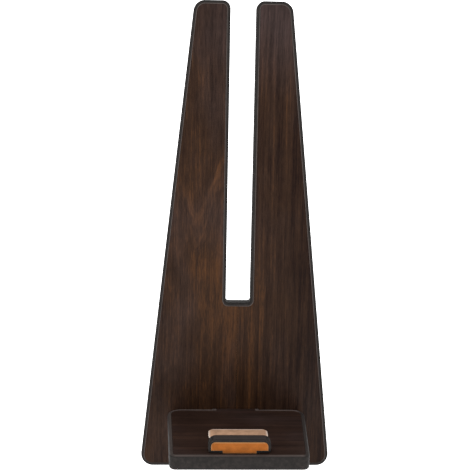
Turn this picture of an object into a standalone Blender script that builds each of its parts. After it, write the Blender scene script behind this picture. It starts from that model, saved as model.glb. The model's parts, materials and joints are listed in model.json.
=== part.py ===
"""Slot-together wooden stand for a wind instrument.

A tall tapered board leans back on its bottom edge. A shelf plank goes through
a mortise near the board's foot, and its narrow tail runs down to the ground
behind, so the two planks hold each other up. A small T-shaped stop drops
through the shelf near its front edge, and a leather pad lies behind it.

Metres, +Z up, +X to the right of someone facing the stand, +Y to the back.
The origin is on the ground, at the centre of the stand's footprint.
"""

import math

import bmesh
import bpy
from mathutils import Matrix, Vector

# Board
LEAN = math.radians(15.0)          # the board's lean from upright
BOARD_LENGTH = 0.550               # up the board's face
BOARD_THICKNESS = 0.016
BOARD_BOTTOM_WIDTH = 0.2319
BOARD_TOP_WIDTH = 0.1077
BOARD_BOTTOM_RADIUS = 0.0145
SLOT_WIDTH = 0.0284
SLOT_LENGTH = 0.3422               # down from the board's top
SLOT_BOTTOM_RADIUS = 0.003
PRONG_OUTER_RADIUS = 0.013
PRONG_INNER_RADIUS = 0.009         # beside the slot

# Shelf, a plank square to the board
SHELF_THICKNESS = 0.016
SHELF_TOP_HEIGHT = 0.0756          # up the board, to the shelf's top face
SHELF_DEPTH = 0.124                # in front of the board
SHELF_REAR_WIDTH = 0.1642
SHELF_FRONT_WIDTH = 0.1485
SHELF_REAR_RADIUS = 0.015
SHELF_FRONT_RADIUS = 0.0075
TAIL_WIDTH = 0.055
TAIL_END_RADIUS = 0.012
TAIL_GROUND_RUN = 0.0255           # past where the tail's underside meets the ground

# Stop, a T-shaped plate that drops through the shelf
STOP_HEAD_WIDTH = 0.067
STOP_HEAD_HEIGHT = 0.0158
STOP_STEM_WIDTH = 0.042
STOP_THICKNESS = 0.012
STOP_SETBACK = 0.007               # from the shelf's front edge
STOP_TOP_RADIUS = 0.008
STOP_FOOT_RADIUS = 0.0032

# Edges and facings
EDGE_ROUND = 0.0020                # painted round along the planks' edges
FACING_LIP = 0.0020                # flat painted lip between the round and the veneer
STOP_EDGE_ROUND = 0.0014
STOP_FACING_LIP = 0.0014           # the same lip round the stop's leather
VENEER_THICKNESS = 0.0006
LEATHER_THICKNESS = 0.0016
LEATHER_SINK = 0.0010              # depth of the leather's recess

# Leather pad on the shelf
PAD_WIDTH = 0.066
PAD_DEPTH = 0.022
PAD_THICKNESS = 0.002
PAD_RADIUS = 0.004
PAD_SETBACK = 0.0615               # from the board's face to the pad

# Rubber feet
FOOT_THICKNESS = 0.0015
FOOT_RADIUS = 0.002
BOARD_FOOT_LENGTH = 0.036
BOARD_FOOT_WIDTH = 0.008
BOARD_FOOT_SPACING = 0.090
TAIL_FOOT_LENGTH = 0.020
TAIL_FOOT_WIDTH = 0.040

# Clearances
SEAT_GAP = 0.0003                  # between pieces that rest on each other
SLIDE_CLEARANCE = 0.0004           # around a tail or stem that slides

ROUND_SEGMENTS = 4
ARC_STEPS = 8                      # for a quarter turn

# Worked out from the sizes above
FLOOR_OFFSET = FOOT_THICKNESS + SEAT_GAP
BOARD_BOTTOM_FRONT = FLOOR_OFFSET / math.cos(LEAN)
BOARD_BOTTOM_REAR = BOARD_BOTTOM_FRONT + BOARD_THICKNESS * math.tan(LEAN)
SHELF_BOTTOM_HEIGHT = SHELF_TOP_HEIGHT - SHELF_THICKNESS
TAIL_TOUCHDOWN = SHELF_BOTTOM_HEIGHT / math.tan(LEAN)
TAIL_END = TAIL_TOUCHDOWN + TAIL_GROUND_RUN
FACING_POCKET = VENEER_THICKNESS + SEAT_GAP
FOOTPRINT_FRONT = ((EDGE_ROUND - SHELF_DEPTH) * math.cos(LEAN)
                   + (SHELF_BOTTOM_HEIGHT + EDGE_ROUND) * math.sin(LEAN) - EDGE_ROUND)
FOOTPRINT_REAR = ((TAIL_END - EDGE_ROUND) * math.cos(LEAN)
                  + (SHELF_TOP_HEIGHT - EDGE_ROUND) * math.sin(LEAN) + EDGE_ROUND)
FOOTPRINT_SHIFT = -(FOOTPRINT_FRONT + FOOTPRINT_REAR) / 2
CUT_REACH = BOARD_LENGTH           # how far a cutter runs past what it cuts


def clear_scene():
    for obj in list(bpy.data.objects):
        bpy.data.objects.remove(obj, do_unlink=True)


def make_material(name, colour, roughness, metallic=0.0):
    material = bpy.data.materials.new(name)
    material.use_nodes = True
    shader = material.node_tree.nodes["Principled BSDF"]
    shader.inputs["Base Color"].default_value = (*colour, 1.0)
    shader.inputs["Roughness"].default_value = roughness
    shader.inputs["Metallic"].default_value = metallic
    material.diffuse_color = (*colour, 1.0)
    return material


def make_empty(name, location, rotation=(0.0, 0.0, 0.0), parent=None):
    empty = bpy.data.objects.new(name, None)
    empty.location = location
    empty.rotation_euler = rotation
    empty.parent = parent
    bpy.context.scene.collection.objects.link(empty)
    return empty


def make_object(name, bm, material, parent):
    bmesh.ops.recalc_face_normals(bm, faces=bm.faces[:])
    mesh = bpy.data.meshes.new(name)
    bm.to_mesh(mesh)
    bm.free()
    mesh.materials.append(material)
    mesh.shade_smooth()
    mesh.set_sharp_from_angle(angle=math.radians(35.0))
    obj = bpy.data.objects.new(name, mesh)
    obj.parent = parent
    bpy.context.scene.collection.objects.link(obj)
    return obj


# Outlines are corners (u, v, radius) in anticlockwise order

def rounded_outline(corners):
    """Points of the outline, with each corner's radius as an arc."""
    points = []
    for index, (u, v, radius) in enumerate(corners):
        corner = Vector((u, v))
        if radius <= 0.0:
            points.append(corner)
            continue
        to_last = (Vector(corners[index - 1][:2]) - corner).normalized()
        to_next = (Vector(corners[(index + 1) % len(corners)][:2]) - corner).normalized()
        half = to_last.angle(to_next) / 2
        centre = corner + (to_last + to_next).normalized() * radius / math.sin(half)
        start = corner + to_last * radius / math.tan(half) - centre
        sweep = math.pi - 2 * half
        if to_last.cross(to_next) > 0.0:
            sweep = -sweep
        steps = max(2, round(ARC_STEPS * abs(sweep) / (math.pi / 2)))
        for step in range(steps + 1):
            angle = sweep * step / steps
            points.append(centre + Matrix.Rotation(angle, 2) @ start)
    return points


def inset_corners(corners, insets):
    """The same corners with each side moved inwards; side i starts at corner i."""
    count = len(corners)
    if not isinstance(insets, (list, tuple)):
        insets = [insets] * count
    lines = []
    for index in range(count):
        start = Vector(corners[index][:2])
        along = (Vector(corners[(index + 1) % count][:2]) - start).normalized()
        lines.append((start + Vector((-along.y, along.x)) * insets[index], along))
    moved = []
    for index, (_, _, radius) in enumerate(corners):
        last_point, last_along = lines[index - 1]
        point, along = lines[index]
        turn = last_along.cross(along)
        reach = (point - last_point).cross(along) / turn
        place = last_point + last_along * reach
        if radius > 0.0:
            radius = max(0.0, radius - insets[index] if turn > 0.0 else radius + insets[index])
        moved.append((place.x, place.y, radius))
    return moved


def upright(u, v, w):
    """A plate whose outline stands in X and Z, with its thickness along Y."""
    return (u, w, v)


def flat(u, v, w):
    """A plate whose outline lies in X and Y, with its thickness along Z."""
    return (u, v, w)


def plate_mesh(corners, low, high, place, far_corners=None, edge_round=0.0, lip=0.0,
               pocket=0.0):
    """An outline extruded from low to high, with both rims rounded.

    A pocket lets both faces in by its depth, inside a flat lip.
    """
    bm = bmesh.new()
    near = [bm.verts.new(place(p.x, p.y, low)) for p in rounded_outline(corners)]
    face = bm.faces.new(near)
    grown = bmesh.ops.extrude_face_region(bm, geom=[face])["geom"]
    far_face = next(item for item in grown if isinstance(item, bmesh.types.BMFace))
    matches = {vert: next(edge.other_vert(vert) for edge in vert.link_edges
                          if edge.other_vert(vert) in near)
               for vert in far_face.verts}
    far_points = rounded_outline(far_corners or corners)
    for vert, partner in matches.items():
        point = far_points[near.index(partner)]
        vert.co = place(point.x, point.y, high)
    if edge_round > 0.0:
        caps = [f for f in bm.faces if len(f.verts) == len(near) and (
            set(f.verts) == set(near) or f == far_face)]
        rims = list({edge for cap in caps for edge in cap.edges})
        bmesh.ops.bevel(bm, geom=rims, offset=edge_round, offset_type='OFFSET',
                        segments=ROUND_SEGMENTS, profile=0.5, affect='EDGES',
                        clamp_overlap=False, loop_slide=True)
    if pocket > 0.0:
        faces = [face for face in bm.faces if len(face.verts) > 4]
        bmesh.ops.inset_individual(bm, faces=faces, thickness=lip, use_even_offset=True)
        floors = bmesh.ops.extrude_discrete_faces(bm, faces=faces)["faces"]
        inwards = Vector(place(0.0, 0.0, pocket))
        middle = Vector(place(0.0, 0.0, (low + high) / 2))
        for floor in floors:
            side = 1.0 if (middle - floor.calc_center_median()).dot(inwards) > 0.0 else -1.0
            bmesh.ops.translate(bm, verts=floor.verts[:], vec=inwards * side)
    return bm


def make_cutter(name, bm, parent):
    cutter = make_object(name, bm, bpy.data.materials["painted_edge"], parent)
    cutter.hide_render = True
    cutter.display_type = 'WIRE'
    return cutter


def box_cutter(name, low, high, parent):
    bm = bmesh.new()
    size = [h - l for l, h in zip(low, high)]
    centre = [(l + h) / 2 for l, h in zip(low, high)]
    bmesh.ops.create_cube(bm, size=1.0, matrix=Matrix.Translation(centre)
                          @ Matrix.Diagonal((*size, 1.0)))
    return make_cutter(name, bm, parent)


def cut(obj, *cutters):
    for cutter in cutters:
        modifier = obj.modifiers.new("cut_" + cutter.name, 'BOOLEAN')
        modifier.operation = 'DIFFERENCE'
        modifier.solver = 'EXACT'
        modifier.object = cutter


# Board

def board_half_width(height):
    share = height / BOARD_LENGTH
    return (BOARD_BOTTOM_WIDTH + (BOARD_TOP_WIDTH - BOARD_BOTTOM_WIDTH) * share) / 2


def board_corners(bottom):
    """The whole board's outline, from its bottom edge at the given height."""
    slot_bottom = BOARD_LENGTH - SLOT_LENGTH
    right = [(board_half_width(bottom), bottom, BOARD_BOTTOM_RADIUS),
             (board_half_width(BOARD_LENGTH), BOARD_LENGTH, PRONG_OUTER_RADIUS),
             (SLOT_WIDTH / 2, BOARD_LENGTH, PRONG_INNER_RADIUS),
             (SLOT_WIDTH / 2, slot_bottom, SLOT_BOTTOM_RADIUS)]
    return right + [(-u, v, radius) for u, v, radius in reversed(right)]


def leaf_corners(bottom, side):
    """One of the two veneer leaves that meet on the board's centre line."""
    inset = EDGE_ROUND + FACING_LIP + SEAT_GAP
    slot_bottom = BOARD_LENGTH - SLOT_LENGTH
    right = [(0.0, bottom, 0.0)] + board_corners(bottom)[:4] + [(0.0, slot_bottom, 0.0)]
    leaf = inset_corners(right, [inset] * 5 + [SEAT_GAP / 2])
    if side > 0:
        return leaf
    return [(-u, v, radius) for u, v, radius in reversed(leaf)]


def mortise_cutter(lean_frame):
    half = TAIL_WIDTH / 2 + SLIDE_CLEARANCE
    return box_cutter("mortise_space",
                      (-half, -CUT_REACH, SHELF_BOTTOM_HEIGHT - SLIDE_CLEARANCE),
                      (half, CUT_REACH, SHELF_TOP_HEIGHT + SLIDE_CLEARANCE), lean_frame)


def make_board(lean_frame, mortise):
    near, far = board_corners(BOARD_BOTTOM_FRONT), board_corners(BOARD_BOTTOM_REAR)
    core = make_object("board_core",
                       plate_mesh(near, 0.0, BOARD_THICKNESS, upright, far, EDGE_ROUND,
                                  FACING_LIP, FACING_POCKET),
                       bpy.data.materials["painted_edge"], lean_frame)
    cut(core, mortise)
    faces = {"front": (BOARD_BOTTOM_FRONT, 0.0),
             "rear": (BOARD_BOTTOM_REAR, BOARD_THICKNESS - VENEER_THICKNESS)}
    for face, (bottom, low) in faces.items():
        for hand, side in (("left", -1), ("right", 1)):
            leaf = make_object(f"board_{face}_veneer_{hand}",
                               plate_mesh(leaf_corners(bottom, side), low,
                                          low + VENEER_THICKNESS, upright),
                               bpy.data.materials["dark_veneer"], lean_frame)
            cut(leaf, mortise)


def rectangle_corners(low_u, high_u, low_v, high_v, radius):
    return [(low_u, low_v, radius), (high_u, low_v, radius),
            (high_u, high_v, radius), (low_u, high_v, radius)]


def make_board_feet(ground_frame):
    """Two rubber pads under the board's bottom edge, flat on the ground."""
    middle = BOARD_THICKNESS / 2
    height = BOARD_BOTTOM_FRONT + middle * math.tan(LEAN)
    centre = middle * math.cos(LEAN) + height * math.sin(LEAN)
    for hand, side in (("left", -1), ("right", 1)):
        across = side * BOARD_FOOT_SPACING / 2
        corners = rectangle_corners(across - BOARD_FOOT_LENGTH / 2, across + BOARD_FOOT_LENGTH / 2,
                                    centre - BOARD_FOOT_WIDTH / 2, centre + BOARD_FOOT_WIDTH / 2,
                                    FOOT_RADIUS)
        make_object(f"board_foot_{hand}", plate_mesh(corners, 0.0, FOOT_THICKNESS, flat),
                    bpy.data.materials["foot_rubber"], ground_frame)


# Shelf, modelled about the middle of its thickness

def shelf_corners(tail_end, tail_radius):
    rear = -SEAT_GAP
    half_tail = TAIL_WIDTH / 2
    right = [(SHELF_FRONT_WIDTH / 2, -SHELF_DEPTH, SHELF_FRONT_RADIUS),
             (SHELF_REAR_WIDTH / 2, rear, SHELF_REAR_RADIUS),
             (half_tail, rear, 0.0),
             (half_tail, tail_end, tail_radius)]
    return right + [(-u, v, radius) for u, v, radius in reversed(right)]


def make_shelf(shelf_slide, ground_frame):
    half = SHELF_THICKNESS / 2
    corners = shelf_corners(TAIL_END, TAIL_END_RADIUS)
    core = make_object("shelf_core", plate_mesh(corners, -half, half, flat,
                                                edge_round=EDGE_ROUND),
                       bpy.data.materials["painted_edge"], shelf_slide)
    pocket_inset = EDGE_ROUND + FACING_LIP
    veneer_inset = pocket_inset + SEAT_GAP
    # The underside's veneer ends before the tail is cut to lie on the ground
    under_end = (SHELF_BOTTOM_HEIGHT - FLOOR_OFFSET / math.cos(LEAN)) / math.tan(LEAN)
    under_corners = shelf_corners(under_end, 0.0)
    top_pocket = make_cutter("shelf_top_pocket", plate_mesh(
        inset_corners(corners, pocket_inset), half - FACING_POCKET, CUT_REACH, flat), shelf_slide)
    under_pocket = make_cutter("shelf_under_pocket", plate_mesh(
        inset_corners(under_corners, pocket_inset), -CUT_REACH, FACING_POCKET - half, flat),
        shelf_slide)
    ground = box_cutter("ground_space", (-CUT_REACH, 0.0, -CUT_REACH),
                        (CUT_REACH, 2 * CUT_REACH, FLOOR_OFFSET), ground_frame)
    top_veneer = make_object("shelf_top_veneer", plate_mesh(
        inset_corners(corners, veneer_inset), half - VENEER_THICKNESS, half, flat),
        bpy.data.materials["dark_veneer"], shelf_slide)
    under_veneer = make_object("shelf_under_veneer", plate_mesh(
        inset_corners(under_corners, veneer_inset), -half, VENEER_THICKNESS - half, flat),
        bpy.data.materials["dark_veneer"], shelf_slide)
    stem_half = STOP_STEM_WIDTH / 2 + SLIDE_CLEARANCE
    stop_front = STOP_SETBACK - SHELF_DEPTH
    stem_hole = box_cutter("stem_space",
                           (-stem_half, stop_front - SLIDE_CLEARANCE, -CUT_REACH),
                           (stem_half, stop_front + STOP_THICKNESS + SLIDE_CLEARANCE, CUT_REACH),
                           shelf_slide)
    cut(core, top_pocket, under_pocket, stem_hole, ground)
    cut(top_veneer, stem_hole)
    cut(under_veneer, stem_hole)


def make_rest_pad(shelf_slide):
    low = SHELF_THICKNESS / 2 + SEAT_GAP
    corners = rectangle_corners(-PAD_WIDTH / 2, PAD_WIDTH / 2,
                                -PAD_SETBACK - PAD_DEPTH, -PAD_SETBACK, PAD_RADIUS)
    make_object("rest_pad", plate_mesh(corners, low, low + PAD_THICKNESS, flat),
                bpy.data.materials["natural_leather"], shelf_slide)


def make_tail_foot(shelf_slide, ground_frame):
    """A rubber pad on the flat that lets the tail lie on the ground."""
    middle = TAIL_TOUCHDOWN + TAIL_GROUND_RUN / 2
    centre = middle / math.cos(LEAN)
    corners = rectangle_corners(-TAIL_FOOT_WIDTH / 2, TAIL_FOOT_WIDTH / 2,
                                centre - TAIL_FOOT_LENGTH / 2, centre + TAIL_FOOT_LENGTH / 2,
                                FOOT_RADIUS)
    foot = make_object("tail_foot", plate_mesh(corners, 0.0, FOOT_THICKNESS, flat),
                       bpy.data.materials["foot_rubber"], shelf_slide)
    foot.matrix_parent_inverse = shelf_slide.matrix_world.inverted()
    foot.matrix_basis = ground_frame.matrix_world


# Stop, modelled from the shelf's top face and the middle of its own thickness

def stop_corners(stem_depth):
    half_head, half_stem = STOP_HEAD_WIDTH / 2, STOP_STEM_WIDTH / 2
    right = [(half_stem, -stem_depth, STOP_FOOT_RADIUS),
             (half_stem, SEAT_GAP, 0.0),
             (half_head, SEAT_GAP, STOP_FOOT_RADIUS),
             (half_head, STOP_HEAD_HEIGHT, STOP_TOP_RADIUS)]
    return right + [(-u, v, radius) for u, v, radius in reversed(right)]


def make_stop(stop_lift):
    half = STOP_THICKNESS / 2
    corners = stop_corners(SHELF_THICKNESS)
    core = make_object("stop_core", plate_mesh(corners, -half, half, upright,
                                               edge_round=STOP_EDGE_ROUND),
                       bpy.data.materials["painted_edge"], stop_lift)
    pocket_inset = STOP_EDGE_ROUND + STOP_FACING_LIP
    leather_inset = pocket_inset + SEAT_GAP
    # Both leathers end just above the shelf, so that the stem still passes through it
    leather_stem = leather_inset - SEAT_GAP
    pocket_corners = inset_corners(stop_corners(leather_stem + SEAT_GAP), pocket_inset)
    leather_corners = inset_corners(stop_corners(leather_stem), leather_inset)
    leather_corners = [(u, v, 0.0 if v < half else radius) for u, v, radius in leather_corners]
    front_pocket = make_cutter("stop_front_pocket", plate_mesh(
        pocket_corners, -CUT_REACH, LEATHER_SINK - half, upright), stop_lift)
    rear_pocket = make_cutter("stop_rear_pocket", plate_mesh(
        pocket_corners, half - LEATHER_SINK, CUT_REACH, upright), stop_lift)
    cut(core, front_pocket, rear_pocket)
    seat = half - LEATHER_SINK + SEAT_GAP
    make_object("stop_front_leather", plate_mesh(
        leather_corners, -seat - LEATHER_THICKNESS, -seat, upright),
        bpy.data.materials["cognac_leather"], stop_lift)
    make_object("stop_rear_leather", plate_mesh(
        leather_corners, seat, seat + LEATHER_THICKNESS, upright),
        bpy.data.materials["cognac_leather"], stop_lift)


def main():
    clear_scene()
    make_material("painted_edge", (0.035, 0.034, 0.034), 0.45)
    make_material("dark_veneer", (0.055, 0.030, 0.020), 0.30)
    make_material("cognac_leather", (0.42, 0.14, 0.03), 0.50)
    make_material("natural_leather", (0.45, 0.29, 0.19), 0.70)
    make_material("foot_rubber", (0.020, 0.020, 0.020), 0.80)

    ground_frame = make_empty("ground_frame", (0.0, FOOTPRINT_SHIFT, 0.0))
    lean_frame = make_empty("lean_frame", (0.0, 0.0, 0.0), (-LEAN, 0.0, 0.0), ground_frame)
    shelf_middle = SHELF_TOP_HEIGHT - SHELF_THICKNESS / 2
    shelf_slide = make_empty("shelf_slide", (0.0, 0.0, shelf_middle), parent=lean_frame)
    stop_middle = STOP_SETBACK - SHELF_DEPTH + STOP_THICKNESS / 2
    stop_lift = make_empty("stop_lift", (0.0, stop_middle, SHELF_THICKNESS / 2),
                           parent=shelf_slide)
    bpy.context.view_layer.update()

    mortise = mortise_cutter(lean_frame)
    make_board(lean_frame, mortise)
    make_board_feet(ground_frame)
    make_shelf(shelf_slide, ground_frame)
    make_rest_pad(shelf_slide)
    make_tail_foot(shelf_slide, ground_frame)
    make_stop(stop_lift)
    bpy.context.view_layer.update()


main()
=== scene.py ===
"""A slot-together wooden stand for a wind instrument, finished around its CAD model.

Metres, +Z up, +X to the right of someone facing the stand, +Y to the back, where
its tail lies on the ground. Planks are shaped in the board's own frame: X across
it, Y back from its face and Z up along it.
"""

import json
import math
from functools import partial

import bmesh
import bpy
from bpy.props import FloatProperty, FloatVectorProperty, PointerProperty
from mathutils import Matrix, Vector


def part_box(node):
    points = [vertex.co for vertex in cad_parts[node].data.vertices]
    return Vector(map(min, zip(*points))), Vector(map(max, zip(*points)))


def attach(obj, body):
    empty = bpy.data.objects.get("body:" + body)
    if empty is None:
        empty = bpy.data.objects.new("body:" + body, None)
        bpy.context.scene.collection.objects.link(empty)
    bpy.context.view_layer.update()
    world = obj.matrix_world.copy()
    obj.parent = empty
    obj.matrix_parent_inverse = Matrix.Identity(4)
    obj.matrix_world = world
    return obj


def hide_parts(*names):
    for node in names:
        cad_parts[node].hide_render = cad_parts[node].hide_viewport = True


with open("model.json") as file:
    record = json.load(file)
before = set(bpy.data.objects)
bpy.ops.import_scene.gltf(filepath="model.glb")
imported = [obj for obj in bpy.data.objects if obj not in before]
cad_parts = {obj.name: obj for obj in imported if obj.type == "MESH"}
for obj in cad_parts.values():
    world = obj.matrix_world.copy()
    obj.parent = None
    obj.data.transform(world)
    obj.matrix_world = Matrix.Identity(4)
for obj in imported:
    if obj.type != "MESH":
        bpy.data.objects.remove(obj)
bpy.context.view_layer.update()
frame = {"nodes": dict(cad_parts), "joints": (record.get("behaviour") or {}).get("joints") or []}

bl_info = {
    "name": "Wind Instrument Stand",
    "version": (1, 0, 0),
    "blender": (4, 5, 0),
    "location": "3D View > Sidebar > Stand",
    "description": "Builds a slot-together wooden stand for a wind instrument",
    "category": "Add Mesh",
}

# The board leans by the shelf's slide, which is square to its face
SLIDE_AXIS = next(joint for joint in frame["joints"] if joint["name"] == "shelf_slide")["axis"]
LEAN = math.atan2(SLIDE_AXIS[2], -SLIDE_AXIS[1])
BOARD_TURN = Matrix.Rotation(-LEAN, 3, 'X')
GROUND_UP = BOARD_TURN.inverted() @ Vector((0.0, 0.0, 1.0))
BACK, UP = 1, 2                    # axes through the board and the stop, and through the shelf

# The board's face is at zero depth in its own frame, whose origin is on the ground
CORE_VERTS = frame["nodes"]["board_core"].data.vertices
FACE_DEPTH = min((BOARD_TURN.inverted() @ vert.co).y for vert in CORE_VERTS)
BOARD_PLACE = Vector((0.0, FACE_DEPTH / math.cos(LEAN), 0.0))
GROUND_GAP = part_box("board_core")[0].z    # the feet hold the board this far off the ground
HIDDEN_GAP = 0.0003                # glue line between a core and its facing
TABLE_DROP = 0.0002                # the table lies this far under the feet
LEATHER_SWELL = 0.0001             # a leather face rises this far inside its pressed rim
SMOOTH_ANGLE = math.radians(32.0)  # edges that turn less are shaded smooth
FLAT_ANGLE = math.radians(0.2)     # edges that turn less are dropped
SENSOR_WIDTH = 36.0                # of the camera, in millimetres
NEAREST = 0.05                     # the camera shows nothing nearer

# How the paint is rubbed, and the painted highlight and painted shade on its pale lips
INNER_STRIP = 0.0007               # strip of a lip that is rubbed most and holds most of the painted highlight, beside the facing
TOUCHED_AND_LIT_WALL = 0.25                # wear and painted light on a wall that faces up, which hands and instruments touch
WALL_DEPTH = 0.001                 # a plate's wall starts this deep under its face
TOP_SKIN = 0.0005                  # the stop's top is rubbed and painted lighter this far down
FOOT_SHADED_SHARE = 0.3                    # share of its wear and painted highlight that the board's foot keeps: painted shade at the foot
FOOT_RISE = (0.0065, 0.0125)       # heights up the board between which that painted shade fades and the share grows to all of it
LEFT_HIGHLIGHT_SHARE, RIGHT_HIGHLIGHT_SHARE = 0.6, 0.25  # shares of the painted highlight that the shelf's sides keep; the right side's smaller share is painted shade
SIDE_BAND = (0.008, 0.004)         # inwards from a side, where that share starts and is reached
HOME_HIGHLIGHT_SHARE, HOME_BAND = 1.4, 0.006  # share of painted highlight, and depth of the band, beside the board

# Where the wood's figure changes, in metres unless it says otherwise
LEAF_STATIONS = (0.12, 0.45, 0.70, 0.95)    # foot, lower part, upper part, tip: shares of the board
EDGE_SHADE_START = 0.045                          # a leaf is darkened by painted shade from this far off the middle line,
EDGE_SHADE_RUN = 0.100                            # and over this run outwards the painted shade grows to its given amount
VEIN_FADE = (0.19, 0.27)                    # heights up the board where single veins fade out
TIP_SHEEN_FADE = (0.44, 0.53)                     # heights where the prongs turn cooler: a painted reflection
CHEVRON_POINT, CHEVRON_WANDER = 0.03, 0.05  # how blunt the chevrons are, and how far they stray
NOISE_SPAN = (0.3, 0.7)                     # most of a noise lies between these, without a unit


def srgb(hex_colour):
    """An sRGB hex colour as linear red, green, blue and alpha."""
    parts = [int(hex_colour[i:i + 2], 16) / 255 for i in (1, 3, 5)]
    return (*[p / 12.92 if p <= 0.04045 else ((p + 0.055) / 1.055) ** 2.4 for p in parts], 1.0)


def distance(name, description, default):
    """A size in metres."""
    return FloatProperty(name=name, description=description, default=default, min=0.0,
                         unit='LENGTH', subtype='DISTANCE', precision=4)


def amount(name, description, default):
    """A number without a unit, such as a strength."""
    return FloatProperty(name=name, description=description, default=default, min=0.0, soft_max=2.0)


def colour(name, description, hex_colour):
    """A colour, given in sRGB."""
    return FloatVectorProperty(name=name, description=description, subtype='COLOR', size=4,
                               min=0.0, max=1.0, default=srgb(hex_colour))


class BoardSizes(bpy.types.PropertyGroup):
    length: distance("Length", "From the ground up the board's face", 0.550)
    thickness: distance("Thickness", "Of the board", 0.016)
    bottom_width: distance("Bottom width", "Across the board's foot", 0.2319)
    top_width: distance("Top width", "Across both prongs", 0.1077)
    bottom_radius: distance("Bottom corners", "Radius of the two bottom corners", 0.0145)
    slot_width: distance("Slot width", "Gap between the prongs", 0.0284)
    slot_length: distance("Slot length", "Down from the top of the prongs", 0.3422)
    slot_radius: distance("Slot corners", "Radius at the bottom of the slot", 0.003)
    prong_outer: distance("Prong outer corners", "Radius at the top of each prong", 0.013)
    prong_inner: distance("Prong inner corners", "Radius beside the slot", 0.009)
    edge_round: distance("Edge rounding", "Radius of the planks' painted edges", 0.0020)
    lip: distance("Edge lip", "Flat paint between the rounding and the veneer", 0.0020)
    pocket: distance("Veneer pocket", "Depth that the veneer is let in by", 0.0009)


class ShelfSizes(bpy.types.PropertyGroup):
    top_height: distance("Top height", "Up the board, to the shelf's top face", 0.0756)
    thickness: distance("Thickness", "Of the shelf", 0.016)
    depth: distance("Depth", "In front of the board", 0.124)
    rear_width: distance("Rear width", "Across the shelf at the board", 0.1642)
    front_width: distance("Front width", "Across the shelf's front edge", 0.1485)
    rear_radius: distance("Rear corners", "Radius of the corners at the board", 0.015)
    front_radius: distance("Front corners", "Radius of the front corners", 0.0075)
    tail_width: distance("Tail width", "Across the tail behind the board", 0.055)
    tail_radius: distance("Tail corners", "Radius at the tail's end", 0.012)
    ground_run: distance("Tail on the ground", "Length of the tail's flat", 0.0255)
    clearance: distance("Sliding clearance", "Around the tail and the stop's stem", 0.0004)


class StopSizes(bpy.types.PropertyGroup):
    head_width: distance("Head width", "Across the stop above the shelf", 0.067)
    head_height: distance("Head height", "Of the stop above the shelf", 0.0158)
    stem_width: distance("Stem width", "Across the part in the shelf", 0.042)
    thickness: distance("Thickness", "Of the stop's core", 0.012)
    setback: distance("Setback", "From the shelf's front edge", 0.007)
    top_radius: distance("Top corners", "Radius of the head's top corners", 0.008)
    foot_radius: distance("Foot corners", "Radius of the head's lower corners", 0.0032)
    edge_round: distance("Edge rounding", "Radius of the stop's painted edges", 0.0014)
    lip: distance("Edge lip", "Flat paint between the rounding and the leather", 0.0014)
    leather: distance("Leather thickness", "Of the stop's two facings", 0.0016)
    leather_sink: distance("Leather recess", "Depth that the leather is let in by", 0.0010)
    leather_rim: distance("Leather rim", "Rounding of the leather's outer rim", 0.0005)
    leather_press: distance("Pressed rim", "Width of the leather's pressed rim", 0.0007)
    leather_slope: distance("Slope", "Width of the slope inside the pressed rim", 0.0010)
    cut_fade: distance("Cut edge", "How far the pale cut edge shows on the face", 0.0012)


class PadSizes(bpy.types.PropertyGroup):
    width: distance("Width", "Across the leather strip", 0.066)
    depth: distance("Depth", "Front to back", 0.022)
    thickness: distance("Thickness", "Of the leather", 0.002)
    radius: distance("Corners", "Radius of the strip's corners", 0.0065)
    setback: distance("Setback", "From the board's face", 0.0615)
    upper_rim: distance("Upper rim", "Rounding of the upper rim", 0.0006)
    lower_rim: distance("Lower rim", "Rounding of the lower rim", 0.0002)
    press: distance("Pressed rim", "Width of the pressed rim", 0.0010)
    slope: distance("Slope", "Width of the slope inside the pressed rim", 0.0014)
    cut_fade: distance("Cut edge", "How far the pale cut edge shows on the face", 0.0020)


class FootSizes(bpy.types.PropertyGroup):
    radius: distance("Corners", "Radius of the rubber feet's corners", 0.002)
    rim: distance("Lower rim", "Rounding of the rim on the ground", 0.0004)


class FinishColours(bpy.types.PropertyGroup):
    wood_dark: colour("Dark wood", "The darkest lines in the veneer", "#150703")
    wood_mid: colour("Middle wood", "The veneer's main brown", "#2e1d12")
    wood_light: colour("Light wood", "The orange-brown streaks", "#55351c")
    wood_grey: colour("Grey wood", "The cooler, mauve-brown patches", "#2f2422")
    wood_sheen: amount("Wood sheen", "Strength of the lacquer's gloss", 0.08)
    paint: colour("Edge paint", "Paint on the planks' edges", "#232120")
    # Paler paint on the lips: partly rubbed paint, partly a painted highlight
    paint_rubbed_and_lit: colour("Rubbed paint", "Paint rubbed paler on the flat lips", "#665b57")
    paint_sheen: amount("Paint sheen", "Strength of the paint's gloss", 0.04)
    cognac: colour("Cognac leather", "Face of the stop's leather", "#935421")
    cognac_cut: colour("Cognac cut edge", "Pale cut edge of the stop's leather", "#a1764f")
    natural: colour("Natural leather", "Face of the pad", "#bb9579")
    natural_cut: colour("Natural cut edge", "Cut edge of the pad", "#ecdccf")
    rubber: colour("Feet", "Rubber of the feet", "#1c1c1d")
    rubber_bloom: colour("Dusty bloom", "Dust on the rubber", "#4a4946")
    floor: colour("Floor", "The studio floor", "#f4f4f4")


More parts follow.
